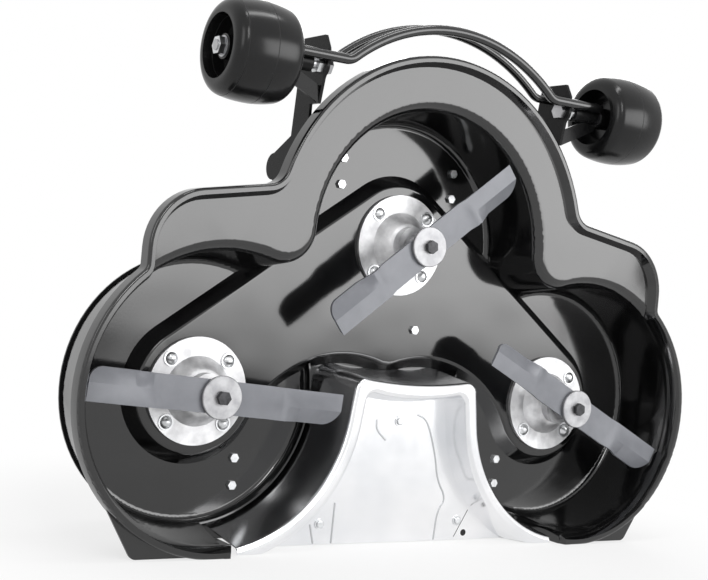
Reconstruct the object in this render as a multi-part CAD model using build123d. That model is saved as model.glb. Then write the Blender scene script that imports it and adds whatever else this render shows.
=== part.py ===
"""Cutting deck of a ride-on mower with three spindles, stood on its rear edge.

The pieces are drawn as the deck lies on a bench with its underside up: x runs across the deck, y from the
rear edge to the front and z out of the underside, from the inner face of the top plate. save() then turns
each piece so that the deck stands on its rear edge, with its front up and its underside towards -Y.
"""
import math
import os

from build123d import *

# Layout of the spindles
spindle_spread = 350.0
rear_row = 232.0
front_row = 485.5
blade_length = 420.0

# Fits between pieces
running_fit = 0.05
seat_fit = 0.02
clear_gap = 0.3
bolt_clearance = 0.25
weld_overlap = 1.0
level_tolerance = 0.01

# Pressed shell
sheet = 3.0
rim_depth = 135.0
lip_rise = 14.0
chamber_r = 203.0
chamber_draft = 7.0
foot_round = 12.0
ledge_round = 18.0
cusp_r = 70.0
tunnel_half = 320.0
kerb_height = 16.0
kerb_sink = 0.2
kerb_start = -85.0
kerb_turn = 99.0
plate_edge = 6.5
lobe_rim_r = 217.0
front_rim_r = 285.0
shoulder_half = 482.0
shoulder_outer_row = 505.5
shoulder_slope = 9.7
shoulder_round = 75.0
shoulder_step_round = 30.0
shoulder_inner_round = 50.0
lip_flare = 7.0
lip_width = 10.0
lip_height = 8.0
lip_round = 5.0
skirt_depth = 26.0
gusset_half = 478.0
gusset_drop = 6.0
gusset_thick = 4.0
gusset_corner_round = 14.0
rear_flange_height = 28.0

# Raised plateau that carries the spindles
plateau_height = 20.0
plateau_r = 115.0
plateau_slope_run = 18.0
plateau_round = 8.0
hump_x = 80.0
hump_r = 187.0
dip_r = 49.0

# Plug in the discharge tunnel
plug_sheet = 2.0
plug_rim_drop = 5.0
plug_floor = 68.0
plug_side_gap = 14.0
plug_side_r = 226.0
plug_side_lean = 8.0
plug_draft = 7.0
plug_top_row = 272.0
plug_top_sag = 9.0
plug_corner_r = 18.0
plug_rim_width = 22.0
plug_rim_round = 8.0
plug_pocket_draft = 12.0
plug_pocket_corner_r = 6.0
plug_rear_gap = 0.6
plug_screw_row = 199.0
plug_screw_low_row = 33.0
plug_screw_spread = 137.0
plug_post_r = 9.0
plug_screw_r = 3.0
plug_screw_head_r = 6.0
plug_screw_head = 3.0
plug_washer_r = 8.5
plug_nut_flat = 10.0
plug_nut_height = 5.0

# Spindle housings and their bolts
flange_r = 83.0
flange_thick = 6.0
flange_pcd = 136.0
flange_bolt_r = 5.0
flange_dome_r = 10.0
flange_dome_height = 5.5
flange_washer_r = 12.5
flange_nut_flat = 17.0
flange_nut_height = 8.0
washer_thick = 1.6
bolt_tail = 2.0
bolt_tip_gap = 1.0
dish_start_r = 54.0
dish_top = 46.0
neck_rise = 3.0
housing_tube_r = 31.0
housing_low = 64.0
housing_high = -42.0
housing_hole_gap = 2.0

# Spindle shafts, bearings and pulleys
shaft_r = 10.0
bearing_r = 23.5
bearing_width = 14.0
bearing_inset = 2.0
bearing_lip = 3.5
spacer_r = 13.5
blade_boss_r = 18.0
blade_boss_gap = 1.0
blade_seat = 97.5
belt_level = -72.0
pulley_r = 65.0
pulley_width = 22.0
groove_depth = 14.0
groove_half_mouth = 8.0
groove_angle = 18.0
pulley_rim_wall = 5.0
pulley_web = 5.0
pulley_hub_r = 17.0
pulley_nut_flat = 24.0
pulley_nut_height = 9.0
pulley_nut_flange_r = 14.4
shaft_tail = 4.0

# Blades and what holds them
blade_width = 50.0
blade_thick = 5.0
blade_crank_start = 88.0
blade_crank_run = 14.0
blade_crank_drop = 5.0
blade_wing_start = 112.0
blade_wing_run = 26.0
blade_wing_width = 23.0
blade_wing_height = 13.0
blade_set = 0.4
blade_bevel = 7.0
blade_edge = 1.0
blade_tip_round = 26.0
blade_hole_r = 6.3
disc_r = 32.5
disc_thick = 7.0
disc_edge = 1.2
blade_bolt_r = 6.0
blade_bolt_flat = 19.0
blade_bolt_head = 7.5
blade_bolt_reach = 26.0
blade_rest_angles = {"left": -3.9, "right": -25.8, "front": 38.7}

# Hex bolts through the top plate
bracket_bolt_r = 4.0
bracket_bolt_flat = 13.0
bracket_bolt_head = 5.3
bracket_nut_height = 6.5
rear_bolt_spread = 264.0
rear_bolt_rows = (84.0, 127.0)
front_bolt_spread = 112.0
front_bolt_rows = (575.0, 618.0)

# Hangers for the lift links
hanger_thick = 4.0
hanger_width = 44.0
hanger_margin = 20.0
hanger_pin_level = 48.0
hanger_pin_r = 6.1
hanger_eye_r = 17.0

# Belt tensioner on the top side
belt_back_r = 63.0
belt_thick = 8.0
belt_width = 12.5
belt_narrow = 7.5
idler_x = 60.0
idler_y = 146.0
idler_r = 36.0
idler_flange_r = 42.0
idler_flange = 2.0
idler_bore_r = 6.0
arm_pivot_x = -90.0
arm_pivot_y = 118.0
arm_width = 32.0
arm_thick = 5.0
arm_level = -51.0
post_r = 11.0
anchor_x = 46.0
anchor_y = 347.0
anchor_r = 4.0
anchor_post_r = 8.0
peg_r = 3.0
peg_head_r = 5.5
peg_head = 2.0
peg_share = 0.7
spring_coil_r = 8.0
spring_wire_r = 1.4
spring_lead_r = 1.2
spring_hook_gap = 0.6
spring_level = -42.0
spring_coil_share = 0.62
stud_nut_flat = 19.0
stud_nut_height = 8.0

# Gauge wheels, their brackets and the bent bars
axle_row = 738.0
axle_level = 122.0
axle_r = 8.0
wheel_x = 361.0
wheel_r = 75.0
crown_half = 40.0
crown_radius = 180.0
shoulder_radius = 20.0
wheel_mouth_r = 47.5
wheel_recess_r = 42.0
wheel_recess_floor = 24.0
wheel_hub_r = 18.5
hub_half = 46.0
bush_r = 12.0
bush_flange_r = 15.5
bush_flange = 1.5
axle_flat = 24.0
axle_nut_height = 10.0
bracket_x = 238.0
bracket_thick = 5.0
bracket_foot_start = 515.0
bracket_top = 783.0
bracket_boss_r = 20.0
bracket_back_level = 60.0
bracket_lobe_row = 588.0
bracket_lobe_level = 4.0
bracket_lobe_r = 21.0
rim_clearance = 9.0
sleeve_r = 13.0
sleeve_start = 262.0
strap_width = 26.0
strap_thick = 4.0
bar_r = 8.0
bar_row = 751.0
bar_level = 140.0
bar_rise = 76.0
bar_arch_r = 304.0
bar_kink_r = 25.0
bar_end = 310.0
bar_seat_gap = 0.1
hook_reach = 12.0
stay_r = 7.0
stay_row = 757.0
stay_level = 94.0

spindles = {
    "left": (-spindle_spread, rear_row),
    "right": (spindle_spread, rear_row),
    "front": (0.0, front_row),
}
front = spindles["front"]
left = spindles["left"]
ledge_depth = rim_depth - lip_rise
gusset_level = ledge_depth - gusset_drop
plug_rim = ledge_depth - plug_rim_drop


def mirrored(point):
    return (-point[0], point[1])


def towards(centre, target, distance):
    """The point at a distance from a centre, in the direction of a target."""
    span = math.dist(centre, target)
    return tuple(c + (t - c) * distance / span for c, t in zip(centre, target))


def ring(outer, inner, low, high):
    """A turned ring about the z axis."""
    middle, height = (low + high) / 2, high - low
    return Pos(0, 0, middle) * (Cylinder(outer, height) - Cylinder(inner, height))


def rod(radius, low, high):
    return Pos(0, 0, (low + high) / 2) * Cylinder(radius, high - low)


def hexagon(flat, low, high):
    outline = RegularPolygon(flat / math.sqrt(3), 6)
    return extrude(Pos(0, 0, low) * outline, high - low)


def save(name, *solids):
    """Stand the piece on the rear edge of the deck, with the origin in the middle of the rear flange."""
    shape = solids[0] if len(solids) == 1 else Compound(list(solids))
    export_step(Pos(0, -rear_flange_height / 2, 0) * Rot(90, 0, 0) * shape, f"parts/{name}.step")


def edges_at(solid, level):
    """The edges of a solid that lie in one level plane, inside the rear edge of the deck."""
    flat = solid.edges().filter_by_position(Axis.Z, level - level_tolerance, level + level_tolerance)
    return flat.filter_by(lambda edge: edge.center().Y > 0)


# The shell is the difference of two forms with the same arcs: the hollow, and the hollow grown by the sheet.
cusp_middle = ((left[0] + front[0]) / 2, (left[1] + front[1]) / 2)
cusp_half = math.dist(left, front) / 2
cusp_reach = math.sqrt((chamber_r + cusp_r) ** 2 - cusp_half**2)
across = ((front[0] - left[0]) / 2 / cusp_half, (front[1] - left[1]) / 2 / cusp_half)
cusp_centre = (cusp_middle[0] - across[1] * cusp_reach, cusp_middle[1] + across[0] * cusp_reach)
rear_overrun = 10.0
front_edge = front_row + front_rim_r


def chamber_outline(grow):
    """Three chamber circles joined by the cusps, and the open tunnel at the rear."""
    radius, cusp = chamber_r + grow, cusp_r - grow
    rear_end = towards(left, cusp_centre, radius)
    front_end = towards(front, cusp_centre, radius)
    tip = towards(cusp_centre, cusp_middle, cusp)
    side = tunnel_half + grow
    low = (-side, rear_row - math.sqrt(radius**2 - (spindle_spread - side) ** 2))
    with BuildSketch() as outline:
        with BuildLine():
            ThreePointArc(front_end, (0, front_row + radius), mirrored(front_end))
            ThreePointArc(mirrored(front_end), mirrored(tip), mirrored(rear_end))
            ThreePointArc(mirrored(rear_end), (spindle_spread + radius, rear_row), mirrored(low))
            Polyline(mirrored(low), (side, -rear_overrun), (-side, -rear_overrun), low)
            ThreePointArc(low, (-spindle_spread - radius, rear_row), rear_end)
            ThreePointArc(rear_end, tip, front_end)
        make_face()
    return outline.sketch


def rim_outline():
    """The foot of the lip: two lobes, two shoulders and the front arc."""
    slope = math.tan(math.radians(shoulder_slope))
    rise = shoulder_half * slope
    lobe_top = rear_row + math.sqrt(lobe_rim_r**2 - (shoulder_half - spindle_spread) ** 2)
    height = shoulder_outer_row + rise - front_row
    spare = math.sqrt(front_rim_r**2 * (1 + slope**2) - height**2)
    inner_x = (height * slope + spare) / (1 + slope**2)
    corners = (
        ((shoulder_half, shoulder_outer_row), shoulder_round),
        ((shoulder_half, lobe_top), shoulder_step_round),
        ((inner_x, front_row + height - inner_x * slope), shoulder_inner_round),
    )
    with BuildSketch() as outline:
        with Locations(left, mirrored(left)):
            Circle(lobe_rim_r)
        with Locations(front):
            Circle(front_rim_r)
        with BuildLine():
            Polyline(
                (-shoulder_half, rear_row),
                (-shoulder_half, shoulder_outer_row),
                (0, shoulder_outer_row + rise),
                (shoulder_half, shoulder_outer_row),
                (shoulder_half, rear_row),
                close=True,
            )
        make_face()
        with Locations((0, rear_row / 2)):
            Rectangle(2 * tunnel_half, rear_row)
        for corner, radius in corners:
            nearest = outline.vertices().sort_by(lambda v: math.dist((abs(v.X), v.Y), corner))
            fillet(nearest[:2], radius)
    return outline.sketch


def pressed_form(skin):
    """The chambers with their rounded foot, opening into the ledge, grown by a skin."""
    lean = math.radians(chamber_draft)
    outline = chamber_outline(skin * (1 / math.cos(lean) - math.tan(lean)))
    chambers = extrude(Pos(0, 0, -skin) * outline, ledge_depth, taper=-chamber_draft)
    chambers = fillet(edges_at(chambers, -skin), foot_round + skin)
    ledge = ledge_depth - skin
    cover = Pos(0, 0, ledge + rim_depth / 2) * Box(4 * shoulder_half, 4 * front_edge, rim_depth)
    opened = chambers + cover
    return fillet(edges_at(opened, ledge).filter_by(lambda e: e.center().Y < front_edge), ledge_round - skin)


def rim_form(skin, flare_to):
    """The space inside the lip: straight through the chambers, flared above the ledge."""
    outline = offset(rim_outline(), skin) if skin else rim_outline()
    ledge = ledge_depth - skin
    flare = math.degrees(math.atan2(lip_flare, rim_depth - ledge_depth))
    straight = extrude(Pos(0, 0, -rear_flange_height) * outline, ledge + rear_flange_height)
    return straight + extrude(Pos(0, 0, ledge) * outline, flare_to - ledge, taper=-flare)


hump_rise = math.sqrt((plateau_r + hump_r) ** 2 - (spindle_spread - hump_x) ** 2)
hump_centre = (-hump_x, rear_row - hump_rise)
dip_centre = (0.0, hump_centre[1] + math.sqrt((hump_r + dip_r) ** 2 - hump_x**2))


def plateau_outline(shrink):
    """Three rounded corners, straight sides and a rear edge with two humps and a dip, drawn in."""
    radius, hump, dip = plateau_r - shrink, hump_r + shrink, dip_r - shrink
    normal = (-across[1] * radius, across[0] * radius)
    rear_side = (left[0] + normal[0], left[1] + normal[1])
    front_side = (front[0] + normal[0], front[1] + normal[1])
    outer = (left[0] - radius, left[1])
    hump_start = towards(left, hump_centre, radius)
    hump_top = (hump_centre[0], hump_centre[1] + hump)
    hump_end = towards(hump_centre, dip_centre, hump)
    dip_bottom = (0, dip_centre[1] - dip)
    with BuildSketch() as outline:
        with BuildLine():
            Line(rear_side, front_side)
            ThreePointArc(front_side, (0, front_row + radius), mirrored(front_side))
            Line(mirrored(front_side), mirrored(rear_side))
            ThreePointArc(mirrored(rear_side), mirrored(outer), mirrored(hump_start))
            ThreePointArc(mirrored(hump_start), mirrored(hump_top), mirrored(hump_end))
            ThreePointArc(mirrored(hump_end), dip_bottom, hump_end)
            ThreePointArc(hump_end, hump_top, hump_start)
            ThreePointArc(hump_start, outer, rear_side)
        make_face()
    return outline.sketch


def plateau_form(skin):
    """The raised seat of the spindles, with sloped sides, as seen from inside the sheet."""
    lean = math.atan2(plateau_slope_run, plateau_height)
    shrink = skin * (1 / math.cos(lean) - math.tan(lean))
    foot = Pos(0, 0, -skin) * plateau_outline(shrink)
    top = Pos(0, 0, plateau_height - skin) * plateau_outline(shrink + plateau_slope_run)
    seat = loft([foot, top], ruled=True)
    return fillet(edges_at(seat, plateau_height - skin), plateau_round - skin)


plug_screw_places = [
    (0.0, plug_screw_row),
    (-plug_screw_spread, plug_screw_low_row),
    (plug_screw_spread, plug_screw_low_row),
]


def bolt_places():
    places = []
    for spread, rows in ((rear_bolt_spread, rear_bolt_rows), (front_bolt_spread, front_bolt_rows)):
        places += [(side * spread, row) for side in (-1, 1) for row in rows]
    return places


def flange_bolt_places(centre):
    quarter = flange_pcd / 2 / math.sqrt(2)
    return [(centre[0] + a * quarter, centre[1] + b * quarter) for a in (-1, 1) for b in (-1, 1)]


def kerb():
    """The foot of the left chamber, carried on across the tunnel as a low wall in front of the plug."""
    lean = math.radians(chamber_draft)
    run = foot_round * math.tan((math.pi / 2 - lean) / 2)
    foot = chamber_r - run
    bend = (math.pi / 2 + lean) / 2
    middle = (foot + foot_round * math.cos(bend), foot_round * (1 - math.sin(bend)))
    wall = (chamber_r + run * math.sin(lean), run * math.cos(lean))
    top = chamber_r + kerb_height * math.tan(lean)
    with BuildSketch(Plane.XZ) as section:
        with BuildLine():
            ThreePointArc((foot, 0), middle, wall)
            Polyline(
                wall,
                (top, kerb_height),
                (top + sheet, kerb_height),
                (top + sheet, kerb_sink - sheet),
                (foot, kerb_sink - sheet),
                (foot, 0),
            )
        make_face()
    wall_on = revolve(section.sketch, Axis.Z, kerb_turn)
    return Pos(*left, -kerb_sink) * Rot(0, 0, kerb_start) * wall_on


def rim_skirt():
    """The rolled lip and the skirt that it turns back into, over the whole outline of the rim."""
    outer = lip_flare + lip_width
    low = rim_depth - skirt_depth
    lip = extrude(Pos(0, 0, low) * offset(rim_outline(), outer), skirt_depth)
    lip = fillet(edges_at(lip, rim_depth), lip_round)
    return lip - extrude(Pos(0, 0, low) * offset(rim_outline(), outer - sheet), skirt_depth - lip_height)


def deck_shell():
    hollow = pressed_form(0) & rim_form(0, rim_depth + lip_height)
    hollow -= plateau_form(0)
    outside = pressed_form(sheet) & rim_form(sheet, rim_depth)
    outside -= plateau_form(sheet)
    lip_r = lobe_rim_r + lip_flare + lip_width / 2
    reach = math.dist(left, (-gusset_half, 0))
    angle = math.atan2(-rear_row, spindle_spread - gusset_half) - math.acos(lip_r / reach)
    touch = (left[0] + lip_r * math.cos(angle), left[1] + lip_r * math.sin(angle))
    with BuildSketch() as corner:
        with BuildLine():
            Polyline((-gusset_half, 0), touch, left, (-tunnel_half, 0), close=True)
        make_face()
        fillet(corner.vertices().sort_by(Axis.Y)[:2].sort_by(Axis.X)[0], gusset_corner_round)
    gusset = extrude(Pos(0, 0, gusset_level) * corner.sketch, gusset_thick)
    outside += rim_skirt() + gusset + mirror(gusset, about=Plane.YZ)
    shell = outside - hollow
    edge_ring = chamber_outline(plate_edge) - chamber_outline(-foot_round)
    plate = extrude(Pos(0, 0, -sheet) * edge_ring, sheet) + kerb() + mirror(kerb(), about=Plane.YZ)
    shell += plate - plateau_form(sheet)
    behind = Pos(0, -front_edge, 0) * Box(4 * shoulder_half, 2 * front_edge, 4 * rim_depth)
    shell -= behind
    shell += Pos(0, sheet / 2, -rear_flange_height / 2) * Box(2 * tunnel_half, sheet, rear_flange_height)
    for centre in spindles.values():
        shell -= Pos(*centre, plateau_height) * Cylinder(housing_tube_r + housing_hole_gap, 4 * sheet)
        for place in flange_bolt_places(centre):
            shell -= Pos(*place, plateau_height) * Cylinder(flange_bolt_r + bolt_clearance, 4 * sheet)
    for place in bolt_places():
        shell -= Pos(*place, 0) * Cylinder(bracket_bolt_r + bolt_clearance, 4 * sheet)
    shell -= Pos(anchor_x, anchor_y, plateau_height) * Cylinder(anchor_r + bolt_clearance, 4 * sheet)
    for place in plug_screw_places:
        shell -= Pos(*place, 0) * Cylinder(plug_screw_r + bolt_clearance, 4 * sheet)
    return shell


def plug_outline(inset, corner_r):
    """The bell shape between the two rear chambers at the level of the rim, drawn in by an amount."""
    radius = plug_side_r + inset
    top = plug_top_row - inset
    lean = math.radians(plug_side_lean)
    low = (-spindle_spread, rear_row - radius)
    far = (-spindle_spread - cusp_r, low[1])
    bend = (radius * math.sqrt(0.5) - spindle_spread, rear_row - radius * math.sqrt(0.5))
    neck = (radius * math.cos(lean) - spindle_spread, rear_row - radius * math.sin(lean))
    corner = (neck[0] + (top - neck[1]) * math.tan(lean), top)
    rear = (far[0], -rear_row)
    with BuildSketch() as outline:
        with BuildLine():
            Polyline(rear, far, low)
            ThreePointArc(low, bend, neck)
            Line(neck, corner)
            ThreePointArc(corner, (0, top - plug_top_sag), mirrored(corner))
            Line(mirrored(corner), mirrored(neck))
            ThreePointArc(mirrored(neck), mirrored(bend), mirrored(low))
            Polyline(mirrored(low), mirrored(far), mirrored(rear), rear)
        make_face()
        fillet(outline.vertices().sort_by(Axis.Y)[-2:], corner_r)
    return outline.sketch


def plug_form(skin):
    """The plug as a solid bell that widens from rim to foot, with a deep pocket, drawn in by a skin."""
    rim, floor = plug_rim - skin, plug_floor - skin
    foot = 0.0 if skin else clear_gap
    lean, slope = math.radians(plug_draft), math.radians(plug_pocket_draft)
    outer = plug_outline(skin * (1 / math.cos(lean) - math.tan(lean)), plug_corner_r - skin)
    body = Pos(0, 0, rim) * mirror(extrude(outer, rim - foot, taper=-plug_draft), about=Plane.XY)
    inset = plug_rim_width + (plug_rim - floor) * math.tan(slope) - skin / math.cos(slope)
    inner = plug_outline(inset, plug_pocket_corner_r + skin)
    dished = body - extrude(Pos(0, 0, floor) * inner, rim_depth - floor, taper=-plug_pocket_draft)
    return fillet(edges_at(dished, rim), plug_rim_round - skin)


def discharge_plug():
    """The sheet between two plug forms, trimmed to the tunnel and to the slope of the plateau."""
    plug = plug_form(0) - plug_form(plug_sheet) - plateau_form(-clear_gap)
    half = tunnel_half - plug_side_gap
    plug &= Pos(0, plug_rear_gap + front_edge / 2, 0) * Box(2 * half, front_edge, 4 * rim_depth)
    for place in plug_screw_places:
        plug -= Pos(*place, plug_floor) * Cylinder(plug_screw_r + bolt_clearance, 4 * plug_sheet)
    return plug


def plug_posts():
    post = ring(plug_post_r, plug_screw_r + bolt_clearance, 0, plug_floor - plug_sheet)
    return [Pos(*place, 0) * post for place in plug_screw_places]


def plug_screws():
    washer_top = plug_floor + washer_thick
    washer = ring(plug_washer_r, plug_screw_r + bolt_clearance, plug_floor, washer_top)
    nut_end = -sheet - plug_nut_height
    screw = rod(plug_screw_r, nut_end - bolt_tail, washer_top)
    head = rod(plug_screw_head_r, washer_top, washer_top + plug_screw_head)
    screw += fillet(head.edges().sort_by(Axis.Z)[-1], plug_screw_head / 2)
    nut = hexagon(plug_nut_flat, nut_end, -sheet) - rod(plug_screw_r + seat_fit, nut_end, -sheet)
    return [Pos(*place, 0) * piece for place in plug_screw_places for piece in (screw, washer, nut)]


flange_face = plateau_height + flange_thick
lower_bearing = (housing_low - bearing_inset - bearing_width, housing_low - bearing_inset)
upper_bearing = (housing_high + bearing_inset, housing_high + bearing_inset + bearing_width)


def turned(points):
    """A solid of revolution about z from points of radius and height."""
    with BuildSketch(Plane.XZ) as half:
        with BuildLine():
            Polyline(*points, close=True)
        make_face()
    return revolve(half.sketch, Axis.Z)


def spindle_housing():
    neck = dish_top + neck_rise
    body = turned(
        [
            (0, housing_high),
            (housing_tube_r, housing_high),
            (housing_tube_r, plateau_height),
            (flange_r, plateau_height),
            (flange_r, flange_face),
            (dish_start_r, flange_face),
            (housing_tube_r + flange_thick, dish_top),
            (housing_tube_r, neck),
            (housing_tube_r, housing_low),
            (0, housing_low),
        ]
    )
    body -= rod(bearing_r - bearing_lip, housing_high, housing_low)
    body -= rod(bearing_r + seat_fit, lower_bearing[0], housing_low)
    body -= rod(bearing_r + seat_fit, housing_high, upper_bearing[1])
    for place in flange_bolt_places((0, 0)):
        body -= Pos(*place, plateau_height) * Cylinder(flange_bolt_r + bolt_clearance, 4 * flange_thick)
    return body


def bearings():
    return [ring(bearing_r, shaft_r + running_fit, *span) for span in (lower_bearing, upper_bearing)]


def flange_bolts():
    """Dome-head bolts with a washer under the head and a nut on the top side."""
    seat = flange_face + washer_thick
    nut_high = plateau_height - sheet
    nut_end = nut_high - flange_nut_height
    ball = (flange_dome_r**2 + flange_dome_height**2) / (2 * flange_dome_height)
    dome = Pos(0, 0, seat + flange_dome_height - ball) * Sphere(ball)
    head = dome & rod(flange_dome_r, seat, seat + flange_dome_height)
    bolt = head + rod(flange_bolt_r, nut_end - bolt_tail, seat)
    washer = ring(flange_washer_r, flange_bolt_r + bolt_clearance, flange_face, seat)
    nut = hexagon(flange_nut_flat, nut_end, nut_high) - rod(flange_bolt_r + seat_fit, nut_end, nut_high)
    return [Pos(*place, 0) * piece for place in flange_bolt_places((0, 0)) for piece in (bolt, washer, nut)]


def hub_low(grooves):
    return belt_level + pulley_width / 2 - grooves * pulley_width - pulley_web


def nut_low(grooves):
    return hub_low(grooves) - pulley_nut_height


def spindle_shaft(grooves):
    shoulder = lower_bearing[1] + clear_gap
    shaft = rod(shaft_r, nut_low(grooves) - shaft_tail, shoulder)
    shaft += rod(spacer_r, shoulder, housing_low + blade_boss_gap)
    shaft += rod(blade_boss_r, housing_low + blade_boss_gap, blade_seat)
    return shaft - rod(blade_bolt_r + seat_fit, blade_seat - blade_bolt_reach, blade_seat)


def bearing_spacer():
    return ring(spacer_r, shaft_r + seat_fit, upper_bearing[1] + clear_gap, lower_bearing[0] - clear_gap)


def pulley(grooves):
    high = belt_level + pulley_width / 2
    low = high - grooves * pulley_width
    inner = pulley_r - groove_depth - pulley_rim_wall
    wheel = ring(pulley_r, inner, low, high)
    web_middle = (low + high) / 2
    web = ring(inner + weld_overlap, pulley_hub_r - weld_overlap, -pulley_web / 2, pulley_web / 2)
    wheel += Pos(0, 0, web_middle) * web
    wheel += ring(pulley_hub_r, shaft_r + seat_fit, hub_low(grooves), upper_bearing[0] - clear_gap)
    floor_half = groove_half_mouth - groove_depth * math.tan(math.radians(groove_angle))
    for turn in range(grooves):
        middle = belt_level - turn * pulley_width
        floor_r = pulley_r - groove_depth
        wheel -= turned(
            [
                (pulley_r + weld_overlap, middle - groove_half_mouth),
                (pulley_r, middle - groove_half_mouth),
                (floor_r, middle - floor_half),
                (floor_r, middle + floor_half),
                (pulley_r, middle + groove_half_mouth),
                (pulley_r + weld_overlap, middle + groove_half_mouth),
            ]
        )
    return wheel


def pulley_nut(grooves):
    high, low = hub_low(grooves), nut_low(grooves)
    flange = rod(pulley_nut_flange_r, high - washer_thick, high)
    return hexagon(pulley_nut_flat, low, high) + flange - rod(shaft_r + seat_fit, low, high)


blade_face = blade_seat + blade_thick
disc_face = blade_face + disc_thick


def blade_section(reach, drop, lift, bevel, edge):
    """One cross-section of a blade arm: the cutting edge at +y, the trailing wing lifted towards the deck."""
    lower = blade_face + drop
    half, bend = blade_width / 2, blade_wing_width - blade_width / 2
    points = [
        (half, lower),
        (bend, lower),
        (-half, lower - lift),
        (-half, lower - lift - blade_thick),
        (bend, lower - blade_thick),
        (half - bevel, lower - blade_thick),
        (half, lower - edge),
    ]
    with BuildSketch(Plane.YZ.offset(reach)) as section:
        with BuildLine():
            Polyline(*points, close=True)
        make_face()
    return section.sketch


def blade():
    blunt = (blade_edge, blade_thick - blade_edge)
    sharp = (blade_bevel, blade_edge)
    crank_end = blade_crank_start + blade_crank_run
    wing_full = blade_wing_start + blade_wing_run
    tip = blade_length / 2
    stations = [
        (0, 0, blade_set, *blunt),
        (blade_crank_start, 0, blade_set, *blunt),
        (crank_end, blade_crank_drop, blade_set, *blunt),
        (blade_wing_start, blade_crank_drop, blade_set, *blunt),
        (wing_full, blade_crank_drop, blade_wing_height, *sharp),
        (tip, blade_crank_drop, blade_wing_height, *sharp),
    ]
    sections = [blade_section(*station) for station in stations]
    arm = loft(sections[:2], ruled=True)
    for here, there in zip(sections[1:], sections[2:]):
        arm += loft([here, there], ruled=True)
    corner = Pos(tip - blade_tip_round, blade_tip_round - blade_width / 2, blade_face)
    square = Box(blade_tip_round, blade_tip_round, rim_depth, align=(Align.MIN, Align.MAX, Align.CENTER))
    arm -= corner * (square - Cylinder(blade_tip_round, 2 * rim_depth))
    whole = arm + Rot(0, 0, 180) * arm
    return whole - rod(blade_hole_r, 0, rim_depth) - rod(blade_boss_r + blade_boss_gap, 0, blade_seat)


def blade_disc():
    disc = ring(disc_r, blade_hole_r, blade_face, disc_face)
    return chamfer(disc.edges().filter_by(GeomType.CIRCLE).sort_by(SortBy.RADIUS)[-2:], disc_edge)


def blade_bolt():
    head = hexagon(blade_bolt_flat, disc_face, disc_face + blade_bolt_head)
    return head + rod(blade_bolt_r, blade_seat - blade_bolt_reach + bolt_tip_gap, disc_face)


def bracket_bolts():
    nut_high = -sheet - hanger_thick
    low = nut_high - bracket_nut_height
    bolt = hexagon(bracket_bolt_flat, 0, bracket_bolt_head) + rod(bracket_bolt_r, low - bolt_tail, 0)
    nut = hexagon(bracket_bolt_flat, low, nut_high) - rod(bracket_bolt_r + seat_fit, low, nut_high)
    return [Pos(*place, 0) * piece for place in bolt_places() for piece in (bolt, nut)]


def hanger(side, spread, rows):
    """An angle bracket on the top side, with an upright eye for the pin of a lift link."""
    middle, length = sum(rows) / 2, rows[1] - rows[0] + 2 * hanger_margin
    foot = -sheet - hanger_thick
    base = Pos(spread, middle, -sheet - hanger_thick / 2) * Box(hanger_width, length, hanger_thick)
    for row in rows:
        base -= Pos(spread, row, -sheet) * Cylinder(bracket_bolt_r + bolt_clearance, 4 * hanger_thick)
    inner = spread + hanger_width / 2 - hanger_thick
    with BuildSketch(Plane.YZ.offset(inner)) as upright:
        with Locations((middle, -hanger_pin_level)):
            Circle(hanger_eye_r)
        with Locations((middle, foot - hanger_thick / 2)):
            Rectangle(length, hanger_thick)
        make_hull()
        with Locations((middle, -hanger_pin_level)):
            Circle(hanger_pin_r, mode=Mode.SUBTRACT)
    bracket = base + extrude(upright.sketch, hanger_thick)
    return bracket if side > 0 else mirror(bracket, about=Plane.YZ)


def belt_path():
    """Straight runs and arcs round the three pulleys, with the back of the belt on the idler."""
    wrap = belt_back_r - belt_thick / 2
    back_wrap = idler_r + clear_gap + belt_thick / 2
    stops = [
        (spindles["left"], wrap),
        ((idler_x, idler_y), -back_wrap),
        (spindles["right"], wrap),
        (spindles["front"], wrap),
    ]
    runs = []
    for (here, turn_here), (there, turn_there) in zip(stops, stops[1:] + stops[:1]):
        span = math.dist(here, there)
        heading = math.atan2(there[1] - here[1], there[0] - here[0])
        heading += math.asin((turn_here - turn_there) / span)
        normal = (math.sin(heading), -math.cos(heading))
        leave = (here[0] + turn_here * normal[0], here[1] + turn_here * normal[1])
        meet = (there[0] + turn_there * normal[0], there[1] + turn_there * normal[1])
        runs.append((leave, meet, heading))
    with BuildLine() as path:
        for index, (leave, meet, heading) in enumerate(runs):
            next_leave, _, next_heading = runs[(index + 1) % len(runs)]
            if index == len(runs) - 1:
                middle = ((leave[0] + meet[0]) / 2, (leave[1] + meet[1]) / 2)
                Line(leave, middle)
                Line(middle, meet)
            else:
                Line(leave, meet)
            centre, turn = stops[(index + 1) % len(stops)]
            sweep_angle = (next_heading - heading) % (2 * math.pi)
            if turn < 0:
                sweep_angle -= 2 * math.pi
            halfway = heading + sweep_angle / 2
            crest = (centre[0] + turn * math.sin(halfway), centre[1] - turn * math.cos(halfway))
            ThreePointArc(meet, crest, next_leave)
    return path.wire(), middle, runs[-1][2]


def drive_belt():
    path, start, heading = belt_path()
    plane = Plane(
        origin=(*start, 0),
        x_dir=(-math.sin(heading), math.cos(heading), 0),
        z_dir=(math.cos(heading), math.sin(heading), 0),
    )
    half = belt_thick / 2
    with BuildSketch(plane) as section:
        with BuildLine():
            Polyline(
                (-half, -belt_width / 2),
                (-half, belt_width / 2),
                (half, belt_narrow / 2),
                (half, -belt_narrow / 2),
                close=True,
            )
        make_face()
    return Pos(0, 0, belt_level) * sweep(section.sketch, path=path)


arm_far = arm_level - arm_thick
idler_half = arm_far - clear_gap - belt_level
pivot = (arm_pivot_x, arm_pivot_y)
idler = (idler_x, idler_y)
peg = tuple(p + (i - p) * peg_share for p, i in zip(pivot, idler))
anchor = (anchor_x, anchor_y)


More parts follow.
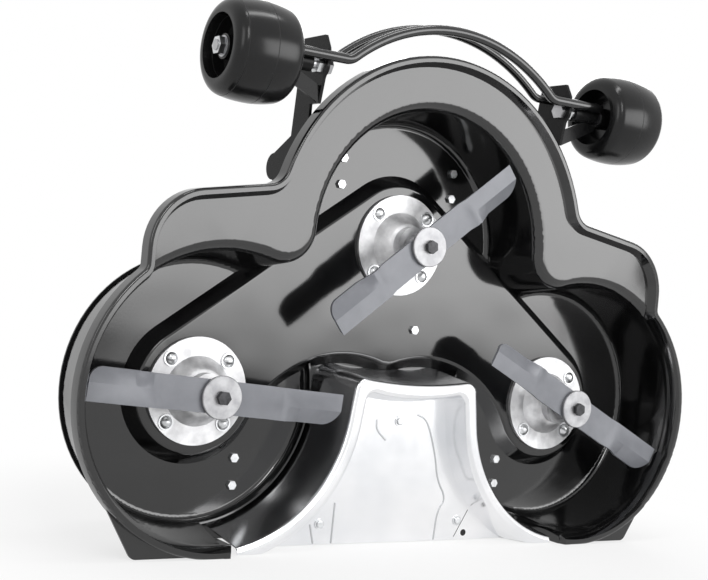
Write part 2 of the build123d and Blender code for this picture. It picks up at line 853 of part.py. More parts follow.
def idler_arm():
    with BuildSketch(Plane.XY.offset(arm_far)) as outline:
        with Locations(pivot, idler):
            Circle(arm_width / 2)
        make_hull()
        with Locations(pivot):
            Circle(idler_bore_r + running_fit, mode=Mode.SUBTRACT)
        with Locations(idler):
            Circle(idler_bore_r + bolt_clearance, mode=Mode.SUBTRACT)
    arm = extrude(outline.sketch, arm_thick)
    peg_end = spring_level + spring_wire_r + clear_gap
    pin = rod(peg_r, arm_level, peg_end) + rod(peg_head_r, peg_end, peg_end + peg_head)
    return arm + Pos(*peg, 0) * pin


def idler_post():
    shoulder = arm_level + clear_gap
    stud = rod(idler_bore_r, arm_far - stud_nut_height, shoulder)
    return Pos(*pivot, 0) * (rod(post_r, shoulder, -sheet) + stud)


def stud_nut(high):
    low = high - stud_nut_height
    return hexagon(stud_nut_flat, low, high) - rod(idler_bore_r + seat_fit, low, high)


def idler_bolt():
    far = belt_level - idler_half - clear_gap
    head = hexagon(stud_nut_flat, arm_level, arm_level + stud_nut_height / 2)
    bolt = head + rod(idler_bore_r, far - stud_nut_height - bolt_tail, arm_level)
    return [Pos(*idler, 0) * piece for piece in (bolt, stud_nut(far))]


def idler_pulley():
    half = pulley_width / 2
    wheel = turned(
        [
            (idler_bore_r + running_fit, belt_level - idler_half),
            (pulley_hub_r, belt_level - idler_half),
            (pulley_hub_r, belt_level - half / 2),
            (idler_r - pulley_rim_wall, belt_level - half / 2),
            (idler_r - pulley_rim_wall, belt_level - half),
            (idler_flange_r, belt_level - half),
            (idler_flange_r, belt_level - half + idler_flange),
            (idler_r, belt_level - half + idler_flange),
            (idler_r, belt_level + half - idler_flange),
            (idler_flange_r, belt_level + half - idler_flange),
            (idler_flange_r, belt_level + half),
            (idler_r - pulley_rim_wall, belt_level + half),
            (idler_r - pulley_rim_wall, belt_level + half / 2),
            (pulley_hub_r, belt_level + half / 2),
            (pulley_hub_r, belt_level + idler_half),
            (idler_bore_r + running_fit, belt_level + idler_half),
        ]
    )
    return Pos(*idler, 0) * wheel


def spring_anchor():
    """A bolt through the plateau and the post that it holds on the top side."""
    seat = plateau_height - sheet
    collar = spring_level - spring_wire_r - clear_gap
    bolt = hexagon(bracket_bolt_flat, plateau_height, plateau_height + bracket_bolt_head)
    bolt += rod(anchor_r, -anchor_post_r, plateau_height)
    post = rod(anchor_post_r, spring_level + 2 * spring_wire_r, seat)
    post += rod(peg_r, collar, spring_level + 2 * spring_wire_r) + rod(peg_head_r, collar - peg_head, collar)
    post -= rod(anchor_r + seat_fit, -anchor_post_r - bolt_tip_gap, seat)
    return [Pos(*anchor, 0) * piece for piece in (bolt, post)]


def tension_spring():
    """A close-wound coil with a straight wire and an eye at each end, lying from the peg to the anchor."""
    span = math.dist(peg, anchor)
    eye = peg_r + spring_hook_gap + spring_wire_r
    coil = span * spring_coil_share
    wire = (span - coil) / 2 - eye
    body = Rot(0, 90, 0) * Cylinder(spring_coil_r, coil)
    for side in (-1, 1):
        lead = Pos(side * (coil + wire) / 2, 0, 0) * Rot(0, 90, 0) * Cylinder(spring_lead_r, wire)
        body += lead + Pos(side * span / 2, 0, 0) * Torus(eye, spring_wire_r)
    turn = math.degrees(math.atan2(anchor[1] - peg[1], anchor[0] - peg[0]))
    return Pos((peg[0] + anchor[0]) / 2, (peg[1] + anchor[1]) / 2, spring_level) * Rot(0, 0, turn) * body


def across_x(radius, low, high):
    return Pos((low + high) / 2, 0, 0) * Rot(0, 90, 0) * Cylinder(radius, high - low)


def hexagon_x(flat, low, high):
    return Rot(0, 90, 0) * hexagon(flat, low, high)


axle = Pos(0, axle_row, axle_level)
hub_inner = wheel_x - hub_half
hub_outer = wheel_x + hub_half
outer_nut = hub_outer + bush_flange + clear_gap


def wheel():
    """A barrel moulding: crowned tread, rounded shoulders, recessed ends and a hub on a web."""
    dip = math.asin(crown_half / crown_radius)
    crown_end = wheel_r - crown_radius * (1 - math.cos(dip))
    turn_x = crown_half - shoulder_radius * math.sin(dip)
    turn_r = crown_end - shoulder_radius * math.cos(dip)
    end = turn_x + shoulder_radius
    half_turn = (math.pi / 2 - dip) / 2
    bulge = (turn_x + shoulder_radius * math.cos(half_turn), turn_r + shoulder_radius * math.sin(half_turn))
    bore = bush_r + seat_fit
    with BuildSketch() as section:
        with BuildLine():
            ThreePointArc((-crown_half, crown_end), (0, wheel_r), (crown_half, crown_end))
            ThreePointArc((crown_half, crown_end), bulge, (end, turn_r))
            Polyline(
                (end, turn_r),
                (end, wheel_mouth_r),
                (wheel_recess_floor, wheel_recess_r),
                (wheel_recess_floor, wheel_hub_r),
                (hub_half, wheel_hub_r),
                (hub_half, bore),
                (-hub_half, bore),
                (-hub_half, wheel_hub_r),
                (-wheel_recess_floor, wheel_hub_r),
                (-wheel_recess_floor, wheel_recess_r),
                (-end, wheel_mouth_r),
                (-end, turn_r),
            )
            ThreePointArc((-end, turn_r), mirrored(bulge), (-crown_half, crown_end))
        make_face()
    return axle * Pos(wheel_x, 0, 0) * revolve(section.sketch, Axis.X)


def wheel_bush():
    bore = axle_r + running_fit
    bush = across_x(bush_r, hub_inner, hub_outer)
    bush += across_x(bush_flange_r, hub_inner - bush_flange, hub_inner)
    bush += across_x(bush_flange_r, hub_outer, hub_outer + bush_flange)
    return axle * (bush - across_x(bore, hub_inner - bush_flange, hub_outer + bush_flange))


def axle_bolt():
    head = hexagon_x(axle_flat, bracket_x - axle_nut_height, bracket_x)
    return axle * (head + across_x(axle_r, bracket_x, outer_nut + axle_nut_height + bolt_tail))


def axle_nuts():
    nuts = []
    for low in (bracket_x + bracket_thick, outer_nut):
        high = low + axle_nut_height
        nuts.append(axle * (hexagon_x(axle_flat, low, high) - across_x(axle_r + seat_fit, low, high)))
    return nuts


def wheel_bracket():
    """A plate welded on the ledge, with the axle boss, the seat of the bar and a strap to the axle sleeve."""
    ledge = ledge_depth - sheet
    outer_x = bracket_x + bracket_thick
    foot_end = front_row + math.sqrt(front_rim_r**2 - outer_x**2) - clear_gap
    lip_r = front_rim_r + lip_flare + lip_width
    rim_front = front_row + math.sqrt(lip_r**2 - bracket_x**2)
    over = rim_depth - skirt_depth - rim_clearance
    boss = bracket_boss_r
    hook = bar_level - hook_reach
    with BuildSketch(Plane.YZ.offset(bracket_x)) as plate:
        with BuildLine():
            Polyline(
                (bracket_foot_start, ledge),
                (foot_end, ledge),
                (foot_end, over),
                (rim_front + rim_clearance, over),
                (rim_front + rim_clearance, axle_level + strap_thick / 2),
                (axle_row - boss, axle_level + boss / 2),
                (bar_row - bar_r, bar_level + bar_r / 2),
                (bar_row + hook_reach, bar_level),
                (bracket_top, hook),
                (bracket_top, bracket_back_level + bar_r),
                (axle_row, bracket_back_level),
                (foot_end, bracket_back_level - bar_r),
                (bracket_lobe_row + bracket_lobe_r, bracket_lobe_level),
                (bracket_lobe_row - bracket_lobe_r, bracket_lobe_level),
                (bracket_foot_start, ledge - boss),
                close=True,
            )
        make_face()
        with Locations((bracket_lobe_row, bracket_lobe_level)):
            Circle(bracket_lobe_r)
        with Locations((axle_row, axle_level)):
            Circle(boss)
            Circle(axle_r + bolt_clearance, mode=Mode.SUBTRACT)
        seat = bar_r + bar_seat_gap
        with Locations((bar_row, bar_level)):
            Circle(seat, mode=Mode.SUBTRACT)
        with Locations((bar_row, bar_level + bar_r)):
            Rectangle(2 * seat, 2 * bar_r, mode=Mode.SUBTRACT)
    bracket = extrude(plate.sketch, bracket_thick)
    sleeve_end = hub_inner - bush_flange - clear_gap
    sleeve = across_x(sleeve_r, sleeve_start, sleeve_end)
    sleeve -= across_x(axle_r + bolt_clearance, sleeve_start, sleeve_end)
    sleeve_low = axle_row - (sleeve_r + axle_r) / 2
    with BuildSketch(Plane.XY.offset(axle_level - strap_thick / 2)) as strap:
        with BuildLine():
            Polyline(
                (outer_x - weld_overlap, rim_front + rim_clearance),
                (outer_x - weld_overlap, rim_front + rim_clearance + strap_width),
                (sleeve_start + strap_width, sleeve_low),
                (sleeve_end, sleeve_low),
                (sleeve_end, sleeve_low - strap_width / 2),
                close=True,
            )
        make_face()
    return bracket + axle * sleeve + extrude(strap.sketch, strap_thick)


def bent_bar(radius, row, level, end):
    """A round bar: straight ends along x, a kink, and an arch round the front of the deck."""
    centre = row + bar_rise - bar_arch_r
    kink_y = row + bar_kink_r
    kink_x = math.sqrt((bar_arch_r + bar_kink_r) ** 2 - (kink_y - centre) ** 2)
    join = towards((0, centre), (-kink_x, kink_y), bar_arch_r)
    turn = math.atan2(join[1] - kink_y, join[0] + kink_x)
    middle = (turn - math.pi / 2) / 2
    bend = (-kink_x + bar_kink_r * math.cos(middle), kink_y + bar_kink_r * math.sin(middle))
    with BuildLine(Plane.XY.offset(level)) as path:
        Line((-end, row), (-kink_x, row))
        ThreePointArc((-kink_x, row), bend, join)
        ThreePointArc(join, (0, row + bar_rise), mirrored(join))
        ThreePointArc(mirrored(join), mirrored(bend), (kink_x, row))
        Line((kink_x, row), (end, row))
    start = Plane(origin=(-end, row, level), z_dir=(1, 0, 0))
    return sweep(start * Circle(radius), path=path.wire())


os.makedirs("parts", exist_ok=True)

save("deck_shell", deck_shell())
save("discharge_plug", discharge_plug())
save("plug_posts", *plug_posts())
save("plug_screws", *plug_screws())

for name, centre in spindles.items():
    grooves = 2 if name == "front" else 1
    place = Pos(*centre, 0)
    turn = place * Rot(0, 0, blade_rest_angles[name])
    save(f"{name}_spindle_housing", place * spindle_housing())
    save(f"{name}_bearings", *[place * piece for piece in bearings()])
    save(f"{name}_flange_bolts", *[place * piece for piece in flange_bolts()])
    save(f"{name}_spindle_shaft", place * spindle_shaft(grooves))
    save(f"{name}_bearing_spacer", place * bearing_spacer())
    save(f"{name}_pulley", place * pulley(grooves))
    save(f"{name}_pulley_nut", place * pulley_nut(grooves))
    save(f"{name}_blade", turn * blade())
    save(f"{name}_blade_disc", place * blade_disc())
    save(f"{name}_blade_bolt", turn * blade_bolt())

save("bracket_bolts", *bracket_bolts())
for name, spread, rows in (
    ("rear", rear_bolt_spread, rear_bolt_rows),
    ("front", front_bolt_spread, front_bolt_rows),
):
    save(f"{name}_hangers", *[hanger(side, spread, rows) for side in (-1, 1)])

save("drive_belt", drive_belt())
save("idler_post", idler_post())
save("idler_arm", idler_arm())
save("idler_pivot_nut", Pos(*pivot, 0) * stud_nut(arm_far - clear_gap))
save("idler_bolt", *idler_bolt())
save("idler_pulley", idler_pulley())
save("spring_anchor", *spring_anchor())
save("tension_spring", tension_spring())

save("wheel_bar", bent_bar(bar_r, bar_row, bar_level, bar_end))
save("stay_bar", bent_bar(stay_r, stay_row, stay_level, bracket_x))
for name, side in (("left", -1), ("right", 1)):
    pieces = {
        "wheel_bracket": [wheel_bracket()],
        "wheel": [wheel()],
        "wheel_bush": [wheel_bush()],
        "axle_bolt": [axle_bolt()],
        "axle_nuts": axle_nuts(),
    }
    for piece, solids in pieces.items():
        if side < 0:
            solids = [mirror(solid, about=Plane.YZ) for solid in solids]
        save(f"{name}_{piece}", *solids)
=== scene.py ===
import math

import bpy
from mathutils import Matrix, Vector


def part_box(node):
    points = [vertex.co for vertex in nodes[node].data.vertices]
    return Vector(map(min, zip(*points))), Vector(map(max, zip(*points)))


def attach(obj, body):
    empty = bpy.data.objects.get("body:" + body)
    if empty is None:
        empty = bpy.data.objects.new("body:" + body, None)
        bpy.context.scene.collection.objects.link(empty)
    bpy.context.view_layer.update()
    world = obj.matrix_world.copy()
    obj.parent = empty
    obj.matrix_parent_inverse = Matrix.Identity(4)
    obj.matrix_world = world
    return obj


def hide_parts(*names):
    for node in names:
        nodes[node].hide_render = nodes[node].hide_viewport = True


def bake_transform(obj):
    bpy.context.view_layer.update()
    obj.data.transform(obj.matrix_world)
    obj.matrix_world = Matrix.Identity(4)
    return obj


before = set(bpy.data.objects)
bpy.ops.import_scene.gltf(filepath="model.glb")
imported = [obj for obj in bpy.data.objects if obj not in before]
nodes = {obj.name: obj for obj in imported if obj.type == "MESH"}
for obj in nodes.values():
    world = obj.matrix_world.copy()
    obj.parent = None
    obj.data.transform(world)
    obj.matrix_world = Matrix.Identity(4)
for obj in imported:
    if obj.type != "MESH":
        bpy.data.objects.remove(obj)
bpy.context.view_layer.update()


# Deck shell: one sheet of steel, deep drawn into three blade chambers round a raised seat for the spindles.
# It is dipped in gloss black enamel, which follows the faint waves of the drawn sheet and shows orange peel.
class Finish:
    """A value that varies over a surface; arithmetic on it adds Math nodes to its material."""

    def __init__(self, socket):
        self.socket, self.tree = socket, socket.id_data

    def node(self, kind, settings, values, output=0):
        made = self.tree.nodes.new(kind)
        for name, value in settings.items():
            if name == "stops":
                while len(made.color_ramp.elements) < len(value):
                    made.color_ramp.elements.new(1.0)
                for stop, (place, colour) in zip(made.color_ramp.elements, value):
                    stop.position, stop.color = place, (*colour, 1.0)
            else:
                setattr(made, name, value)
        for name, value in values.items():
            if isinstance(value, Finish):
                self.tree.links.new(value.socket, made.inputs[name])
            else:
                made.inputs[name].default_value = value
        return Finish(made.outputs[output])

    def maths(self, operation, first, second):
        return self.node("ShaderNodeMath", {"operation": operation}, {0: first, 1: second})

    def __add__(self, other):
        return self.maths("ADD", self, other)

    def __sub__(self, other):
        return self.maths("SUBTRACT", self, other)

    def __rsub__(self, other):
        return self.maths("SUBTRACT", other, self)

    def __mul__(self, other):
        return self.maths("MULTIPLY", self, other)

    def __lt__(self, other):
        return self.maths("LESS_THAN", self, other)

    def __gt__(self, other):
        return self.maths("GREATER_THAN", self, other)

    __radd__, __rmul__ = __add__, __mul__


def finish(name, **constants):
    """A new material: its shader with the constants set, and the place on the piece to build on."""
    material = bpy.data.materials.new(name)
    material.use_nodes = True
    shader = material.node_tree.nodes["Principled BSDF"]
    for socket, value in constants.items():
        shader.inputs[socket.replace("_", " ")].default_value = value
    place = material.node_tree.nodes.new("ShaderNodeTexCoord").outputs["Object"]
    return material, shader, Finish(place)


def mottle(place, scale, detail):
    """Soft uneven patches over a piece, between 0 and 1."""
    return place.node("ShaderNodeTexNoise", {}, {"Vector": place, "Scale": scale, "Detail": detail})


def tinted(patches, low, dark, high, pale):
    """A colour that goes from dark to pale as the patches go from low to high."""
    return patches.node("ShaderNodeValToRGB", {"stops": [(low, dark), (high, pale)]}, {"Fac": patches})


def relief(height, strength, depth, **under):
    """Fine unevenness of a surface, on top of another one where that is given as its Normal."""
    values = {"Strength": strength, "Distance": depth, "Height": height, **under}
    return height.node("ShaderNodeBump", {}, values)


def drive(shader, **fields):
    """Feed values that vary over the surface to the shader."""
    for socket, field in fields.items():
        shader.id_data.links.new(field.socket, shader.inputs[socket.replace("_", " ")])


def coat(material, name):
    """Give a CAD node its material and join its loose triangles."""
    joined_within = 0.00001
    node = nodes[name]
    for slot in node.material_slots:
        slot.material = material
    node.modifiers.new("weld", "WELD").merge_threshold = joined_within
    return node


def dress(material, *names, sharp=32.0, weigh="FACE_AREA"):
    """Coat CAD nodes, with crisp edges past an angle in degrees and even shading over their rounded faces."""
    for name in names:
        node = coat(material, name)
        split = node.modifiers.new("split", "EDGE_SPLIT")
        split.split_angle, split.use_edge_sharp = math.radians(sharp), False
        node.modifiers.new("even", "WEIGHTED_NORMAL").mode = weigh


enamel, shader, place = finish("black_enamel", IOR=1.64)
peel, cloud, wave = mottle(place, 260.0, 1.0), mottle(place, 9.0, 3.0), mottle(place, 6.0, 1.0)
tint = tinted(cloud, 0.35, (0.003, 0.003, 0.0032), 0.7, (0.006, 0.006, 0.0062))
drawn_sheet = relief(wave, 0.6, 0.006)
orange_peel = relief(peel, 0.02, 0.0005, Normal=drawn_sheet)
drive(shader, Base_Color=tint, Roughness=0.07 + 0.05 * cloud, Normal=orange_peel)
dress(enamel, "deck_shell")

# Discharge plug: a dished pressing of zinc-coated sheet that closes the rear tunnel for mulching.
# Three screws through posts hold it to the roof of the tunnel.
zinc, shader, place = finish("zinc_sheet", Metallic=1.0)
grain, cloud = mottle(place, 70.0, 6.0), mottle(place, 8.0, 2.0)
tint = tinted(cloud, 0.3, (0.78, 0.79, 0.81), 0.7, (0.90, 0.90, 0.91))
drive(shader, Base_Color=tint, Roughness=0.14 + 0.08 * grain, Normal=relief(grain, 0.06, 0.0005))
dress(zinc, "discharge_plug", "plug_posts")

# Folds of the plug: shallow beads that the press leaves across the floor of the dish, duller than the sheet.
# Each runs through points across and up, with its corners rounded off.
# Their dark grey is painted shade, standing in for the shade that falls in the creases.
crease_shade = finish("zinc_painted_crease_shade", Base_Color=(0.40, 0.41, 0.42, 1.0), Metallic=1.0, Roughness=0.4)[0]
floor_face, half_width, rise, sides = -0.082, 0.0016, 0.0006, 16
folds = [
    [(0.036, 0.210), (0.052, 0.204), (0.064, 0.185), (0.080, 0.140), (0.088, 0.102), (0.110, 0.070),
     (0.094, 0.051), (0.091, 0.003)],
    [(-0.045, 0.200), (-0.044, 0.184), (-0.025, 0.168)],
    [(-0.111, 0.066), (-0.112, 0.003)],
    [(-0.154, 0.032), (-0.146, 0.003)],
]


def joined(name, *pieces):
    """Join new pieces into the first of them, with its place kept in its mesh."""
    bpy.ops.object.select_all(action="DESELECT")
    for piece in pieces:
        piece.select_set(True)
    bpy.context.view_layer.objects.active = pieces[0]
    bpy.ops.object.join()
    pieces[0].name = name
    bpy.ops.object.transform_apply()
    return pieces[0]


beads = []
for fold in folds:
    for rounding in range(2):
        corners = [fold[0]]
        for (left, low), (right, high) in zip(fold, fold[1:]):
            corners.append((0.75 * left + 0.25 * right, 0.75 * low + 0.25 * high))
            corners.append((0.25 * left + 0.75 * right, 0.25 * low + 0.75 * high))
        fold = corners + [fold[-1]]
    for (left, low), (right, high) in zip(fold, fold[1:]):
        bpy.ops.object.select_all(action="DESELECT")
        bpy.ops.mesh.primitive_cylinder_add(
            vertices=sides, radius=1.0, depth=2.0,
            location=((left + right) / 2, floor_face, (low + high) / 2),
            rotation=(0.0, math.atan2(right - left, high - low), 0.0),
            scale=(half_width, rise, math.hypot(right - left, high - low) / 2),
        )
        beads.append(bpy.context.object)
    for across, up in fold:
        bpy.ops.object.select_all(action="DESELECT")
        bpy.ops.mesh.primitive_uv_sphere_add(
            segments=sides, ring_count=sides // 2, radius=1.0,
            location=(across, floor_face, up), scale=(half_width, rise, half_width),
        )
        beads.append(bpy.context.object)
plug_folds = joined("plug_folds", *beads)
bpy.ops.object.shade_smooth_by_angle(angle=math.radians(50.0))
plug_folds.data.materials.clear()
plug_folds.data.materials.append(crease_shade)
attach(plug_folds, "deck")

# Slit of the plug: a narrow cut for the rear latch, at the right of the floor, with a round hole beside it.
# Both are painted as thin black patches on the sheet: painted shade for the dark space behind the cuts.
shade = finish("slit_painted_shade", Base_Color=(0.004, 0.004, 0.004, 1.0), Roughness=0.8)[0]
hole_radius, slit_width, slit_length, patch_depth = 0.0056, 0.0010, 0.052, 0.0004
slit_lean = math.atan2(0.026, 0.046)
bpy.ops.object.select_all(action="DESELECT")
bpy.ops.mesh.primitive_cylinder_add(
    vertices=24, radius=hole_radius, depth=patch_depth,
    location=(0.153, floor_face, 0.012), rotation=(math.pi / 2, 0.0, 0.0),
)
hole = bpy.context.object
bpy.ops.mesh.primitive_cube_add(
    size=1.0, location=(0.146, floor_face, 0.028), rotation=(0.0, slit_lean, 0.0),
    scale=(slit_width, patch_depth, slit_length),
)
slit = joined("plug_slit_painted_shade", bpy.context.object, hole)
slit.data.materials.clear()
slit.data.materials.append(shade)
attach(slit, "deck")

# Spindle housings: cast and turned, with a bolted flange under the plateau and a tube for the bearings.
# The flange face is left bright, with the fine rings of the lathe tool round each spindle's own axis.
spindles = ("left", "right", "front")
ring_waves = 5200.0
for name in spindles:
    low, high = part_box(f"{name}_spindle_shaft")
    axis = (low + high) / 2
    turned, shader, place = finish(f"{name}_turned_metal", Metallic=1.0)
    centred = place.node("ShaderNodeMapping", {}, {"Vector": place, "Location": (-axis.x, 0.0, -axis.z)})
    flat = place.node("ShaderNodeVectorMath", {"operation": "MULTIPLY"}, {0: centred, 1: (1.0, 0.0, 1.0)})
    radius = place.node("ShaderNodeVectorMath", {"operation": "LENGTH"}, {0: flat}, "Value")
    rings = place.node("ShaderNodeMath", {"operation": "SINE"}, {0: radius * ring_waves})
    cloud = mottle(place, 40.0, 4.0)
    tint = tinted(cloud, 0.35, (0.55, 0.55, 0.56), 0.65, (0.85, 0.85, 0.86))
    drive(shader, Base_Color=tint, Roughness=0.45 + 0.2 * cloud, Normal=relief(rings, 0.12, 0.0003))
    dress(turned, f"{name}_spindle_housing", f"{name}_bearings")

# Blades: flat bar, pressed with a crank and a lifted wing, ground at the cutting edge and painted blue-grey.
# A steel disc and one hex bolt clamp each to its shaft.
blade_paint, shader, place = finish("blade_paint", Metallic=0.1)
cloud = mottle(place, 30.0, 4.0)
tint = tinted(cloud, 0.3, (0.155, 0.16, 0.178), 0.7, (0.19, 0.196, 0.214))
drive(shader, Base_Color=tint, Roughness=0.34 + 0.1 * cloud, Normal=relief(cloud, 0.05, 0.0008))
dress(blade_paint, *[f"{name}_blade" for name in spindles], sharp=20.0)
disc_steel, shader, place = finish("disc_steel", Metallic=1.0)
cloud = mottle(place, 55.0, 5.0)
tint = tinted(cloud, 0.35, (0.30, 0.30, 0.31), 0.65, (0.46, 0.46, 0.47))
drive(shader, Base_Color=tint, Roughness=0.42 + 0.2 * cloud)
dress(disc_steel, *[f"{name}_blade_disc" for name in spindles])

# Fasteners: hex and dome bolts, washers and nuts of zinc-plated steel, which hold all that is bolted on.
# The blade bolts are blackened steel instead.
plated, shader, place = finish("zinc_plating", Metallic=1.0)
cloud = mottle(place, 120.0, 3.0)
tint = tinted(cloud, 0.3, (0.55, 0.56, 0.57), 0.7, (0.70, 0.71, 0.72))
drive(shader, Base_Color=tint, Roughness=0.22 + 0.2 * cloud)
dress(
    plated, "plug_screws", "bracket_bolts", "idler_pivot_nut", "idler_bolt", "spring_anchor",
    "left_axle_nuts", "right_axle_nuts", *[f"{name}_flange_bolts" for name in spindles],
    *[f"{name}_pulley_nut" for name in spindles],
)
blackened, shader, place = finish("blackened_steel", Metallic=0.6)
cloud = mottle(place, 150.0, 3.0)
tint = tinted(cloud, 0.3, (0.02, 0.02, 0.022), 0.7, (0.06, 0.06, 0.064))
drive(shader, Base_Color=tint, Roughness=0.3 + 0.2 * cloud)
dress(blackened, *[f"{name}_blade_bolt" for name in spindles])

# Shafts, spacers, bushes and pulleys: turned and pressed steel, left bare.
# The belt on the top side is black rubber and runs round the three pulleys, with its back on the idler.
steel, shader, place = finish("bare_steel", Metallic=1.0)
cloud = mottle(place, 60.0, 4.0)
tint = tinted(cloud, 0.3, (0.34, 0.34, 0.35), 0.7, (0.48, 0.48, 0.49))
drive(shader, Base_Color=tint, Roughness=0.26 + 0.18 * cloud)
dress(
    steel, "idler_post", "idler_pulley", "left_wheel_bush", "right_wheel_bush",
    "left_axle_bolt", "right_axle_bolt", *[f"{name}_spindle_shaft" for name in spindles],
    *[f"{name}_bearing_spacer" for name in spindles], *[f"{name}_pulley" for name in spindles],
)
rubber, shader, place = finish("belt_rubber")
cloud = mottle(place, 200.0, 4.0)
tint = tinted(cloud, 0.3, (0.012, 0.012, 0.012), 0.7, (0.03, 0.03, 0.03))
drive(shader, Base_Color=tint, Roughness=0.6 + 0.2 * cloud)
dress(rubber, "drive_belt")

# Tension spring: a close-wound coil of plated round wire, with a long straight lead and an eye at each end.
# One eye turns on the peg of the idler arm and the other on the anchor post.
low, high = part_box("tension_spring")
middle = (low + high) / 2
low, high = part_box("spring_anchor")
anchor = Vector(((low.x + high.x) / 2, middle.y, (low.z + high.z) / 2))
peg = 2 * middle - anchor
wire, wire_sides, coil_radius, eye_radius = 0.0014, 10, 0.0066, 0.005
turns, steps_per_turn, steps_per_eye = 45, 18, 28
span = (anchor - peg).length
coil = 0.62 * span
lead = span / 2 - eye_radius - coil / 2
bpy.ops.object.select_all(action="DESELECT")
bpy.ops.mesh.primitive_circle_add(
    vertices=wire_sides, radius=wire, location=(coil_radius, 0.0, -coil / 2), rotation=(math.pi / 2, 0.0, 0.0)
)
bpy.ops.object.transform_apply()
spring = bpy.context.object
winding = spring.modifiers.new("winding", "SCREW")
winding.screw_offset, winding.iterations, winding.steps = coil / turns, turns, steps_per_turn
bpy.ops.object.modifier_apply(modifier="winding")
ends = []
for end in (-1, 1):
    bpy.ops.mesh.primitive_torus_add(
        major_radius=eye_radius, minor_radius=wire, major_segments=steps_per_eye, minor_segments=wire_sides,
        location=(0.0, 0.0, end * span / 2), rotation=(math.pi / 2, 0.0, 0.0),
    )
    ends.append(bpy.context.object)
    bpy.ops.mesh.primitive_cylinder_add(
        vertices=wire_sides, radius=wire, depth=lead, location=(0.0, 0.0, end * (coil + lead) / 2)
    )
    ends.append(bpy.context.object)
    bpy.ops.mesh.primitive_cylinder_add(
        vertices=wire_sides, radius=wire, depth=coil_radius,
        location=(coil_radius / 2, 0.0, end * coil / 2), rotation=(0.0, math.pi / 2, 0.0),
    )
    ends.append(bpy.context.object)
spring = joined("wound_spring", spring, *ends)
spring.rotation_euler = (0.0, math.atan2(anchor.x - peg.x, anchor.z - peg.z), 0.0)
spring.location = middle
bpy.ops.object.transform_apply()
bpy.ops.object.shade_smooth_by_angle(angle=math.radians(40.0))
spring.data.materials.clear()
spring.data.materials.append(plated)
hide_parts("tension_spring")
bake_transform(spring)

# Bars, brackets and hangers: bent round bar in gloss black, and bent plate in a duller black.
# The bars tie the two wheel brackets together; brackets and hangers are bolted to the shell.
bar_paint, shader, place = finish("bar_paint", IOR=1.6)
cloud = mottle(place, 60.0, 4.0)
tint = tinted(cloud, 0.3, (0.004, 0.004, 0.0042), 0.7, (0.008, 0.008, 0.0083))
drive(shader, Base_Color=tint, Roughness=0.1 + 0.08 * cloud)
skin_grid = 0.0014
for name in ("wheel_bar", "stay_bar"):
    bar = coat(bar_paint, name)
    skin = bar.modifiers.new("skin", "REMESH")
    skin.mode, skin.voxel_size, skin.use_smooth_shade = "VOXEL", skin_grid, True
    even = bar.modifiers.new("even", "SMOOTH")
    even.factor, even.iterations = 0.5, 6
plate_paint, shader, place = finish("plate_paint", IOR=1.5, Specular_IOR_Level=0.12)
cloud = mottle(place, 60.0, 4.0)
tint = tinted(cloud, 0.3, (0.006, 0.006, 0.0063), 0.7, (0.012, 0.012, 0.0124))
drive(shader, Base_Color=tint, Roughness=0.22 + 0.12 * cloud)
dress(plate_paint, "left_wheel_bracket", "right_wheel_bracket", "rear_hangers", "front_hangers", "idler_arm")

# Gauge wheels: barrel-shaped mouldings in gloss black plastic, which roll on a steel bush.
# Two fine parting lines run round each barrel where the halves and the core of the mould met.
wheel_plastic, shader, place = finish("wheel_plastic", IOR=1.5, Specular_IOR_Level=0.3)
grain = mottle(place, 500.0, 2.0)
tint = tinted(grain, 0.3, (0.004, 0.004, 0.0042), 0.7, (0.008, 0.008, 0.0083))
across = place.node("ShaderNodeSeparateXYZ", {}, {0: place}, "X")
out = across.node("ShaderNodeMath", {"operation": "ABSOLUTE"}, {0: across})
half_line = 0.0007
low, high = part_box("right_wheel")
core_at, halves_at = low.x + 0.464 * (high.x - low.x), low.x + 0.869 * (high.x - low.x)
from_core, from_halves = out - core_at, out - halves_at
core_line, halves_line = from_core * from_core < half_line ** 2, from_halves * from_halves < half_line ** 2
lines = core_line + halves_line
gloss = 0.16 + 0.08 * grain + 0.3 * lines
drive(shader, Base_Color=tint, Roughness=gloss, Normal=relief(0.06 * grain - lines, 0.5, 0.0004))
dress(wheel_plastic, "left_wheel", "right_wheel", weigh="CORNER_ANGLE")

# Studio: a sheet of white paper for a floor, soft boxes that the enamel mirrors, and the camera.
# The paper keeps the deck's shadow close by and runs out to pure white further off.
paper_size, paper_drop = 14.0, 0.0005
shadow_reach, white_reach, white_near = 0.45, 0.9, 0.72
bpy.ops.object.select_all(action="DESELECT")
bpy.ops.mesh.primitive_plane_add(size=paper_size, location=(0.0, 0.0, -paper_drop))
floor = bpy.context.object
floor.name = "studio_floor"
paper, shader, place = finish("studio_paper", Base_Color=(0.86, 0.86, 0.86, 1.0), Roughness=0.9)


def looked_at(tree):
    """One where the camera, a mirror or a lens looks straight at a surface, and zero for soft light."""
    path = tree.nodes.new("ShaderNodeLightPath").outputs
    return Finish(path["Is Camera Ray"]) + Finish(path["Is Glossy Ray"]) + Finish(path["Is Transmission Ray"])


reach = place.node("ShaderNodeVectorMath", {"operation": "LENGTH"}, {0: place}, "Value")
far = reach.node(
    "ShaderNodeMapRange", {"interpolation_type": "SMOOTHSTEP"},
    {"Value": reach, "From Min": shadow_reach, "From Max": white_reach, "To Min": white_near, "To Max": 1.0},
)
tree = paper.node_tree
white = tree.nodes.new("ShaderNodeEmission")
mixed = tree.nodes.new("ShaderNodeMixShader")
tree.links.new((far * looked_at(tree)).socket, mixed.inputs["Fac"])
tree.links.new(shader.outputs["BSDF"], mixed.inputs[1])
tree.links.new(white.outputs["Emission"], mixed.inputs[2])
tree.links.new(mixed.outputs["Shader"], tree.nodes["Material Output"].inputs["Surface"])
floor.data.materials.append(paper)

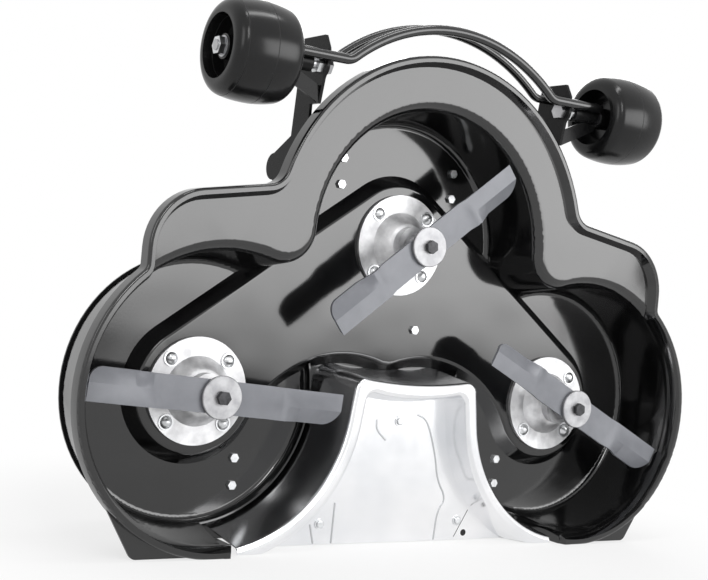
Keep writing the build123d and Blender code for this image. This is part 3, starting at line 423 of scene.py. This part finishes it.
soft_level = 0.5
world = bpy.data.worlds.new("studio")
bpy.context.scene.world = world
world.use_nodes = True
tree = world.node_tree
background = tree.nodes["Background"]
background.inputs["Color"].default_value = (1.0, 1.0, 1.0, 1.0)
tree.links.new((soft_level + (1.0 - soft_level) * looked_at(tree)).socket, background.inputs["Strength"])


def soft_box(name, place, aim, width, height, radiance):
    """A lamp behind a diffuser cloth, brightest across its middle and fading to two of its edges."""
    lamp = bpy.data.lights.new(name, "AREA")
    lamp.shape, lamp.size, lamp.size_y = "RECTANGLE", width, height
    lamp.energy = radiance * math.pi * width * height
    lamp.use_nodes = True
    tree = lamp.node_tree
    cloth = Finish(tree.nodes.new("ShaderNodeNewGeometry").outputs["Parametric"])
    off = cloth.node("ShaderNodeSeparateXYZ", {}, {0: cloth}, "Y") - 0.5
    glow = 1.0 - 16.0 * off * off * off * off
    tree.links.new(glow.socket, tree.nodes["Emission"].inputs["Strength"])
    box = bpy.data.objects.new(name, lamp)
    bpy.context.scene.collection.objects.link(box)
    box.location, box.visible_camera = place, False
    box.rotation_euler = (Vector(aim) - Vector(place)).to_track_quat("-Z", "Y").to_euler()


soft_box("right_box", (1.75, -3.1, 1.1), (0.0, 0.0, 0.5), 2.5, 2.3, 4.8)
soft_box("top_box", (0.1, -0.6, 3.0), (0.0, 0.0, 0.4), 1.8, 0.36, 10.0)
soft_box("left_box", (-1.4, -3.3, 2.6), (0.0, 0.0, 0.4), 0.5, 1.6, 11.0)
soft_box("side_box", (-3.4, -1.8, 1.8), (0.0, 0.0, 0.4), 1.2, 2.4, 2.5)
soft_box("back_box", (2.6, 2.9, 1.9), (0.0, 0.0, 0.4), 2.4, 1.8, 4.0)

stand = (-1.2792, -1.8669, 0.4222)
yaw, pitch, roll = math.radians(33.19), math.radians(0.44), math.radians(5.24)
forward = Vector((math.sin(yaw) * math.cos(pitch), math.cos(yaw) * math.cos(pitch), -math.sin(pitch)))
level = Vector((math.cos(yaw), -math.sin(yaw), 0.0))
upright = level.cross(forward)
sideways = level * math.cos(roll) + upright * math.sin(roll)
above = upright * math.cos(roll) - level * math.sin(roll)
lens = bpy.data.cameras.new("photo_camera")
lens.sensor_width, lens.lens = 36.0, 68.36
camera = bpy.data.objects.new("photo_camera", lens)
bpy.context.scene.collection.objects.link(camera)
facing = Matrix((sideways, above, -forward)).transposed().to_4x4()
camera.matrix_world = Matrix.Translation(stand) @ facing
bpy.context.scene.camera = camera
bpy.context.scene.view_settings.view_transform = "Standard"
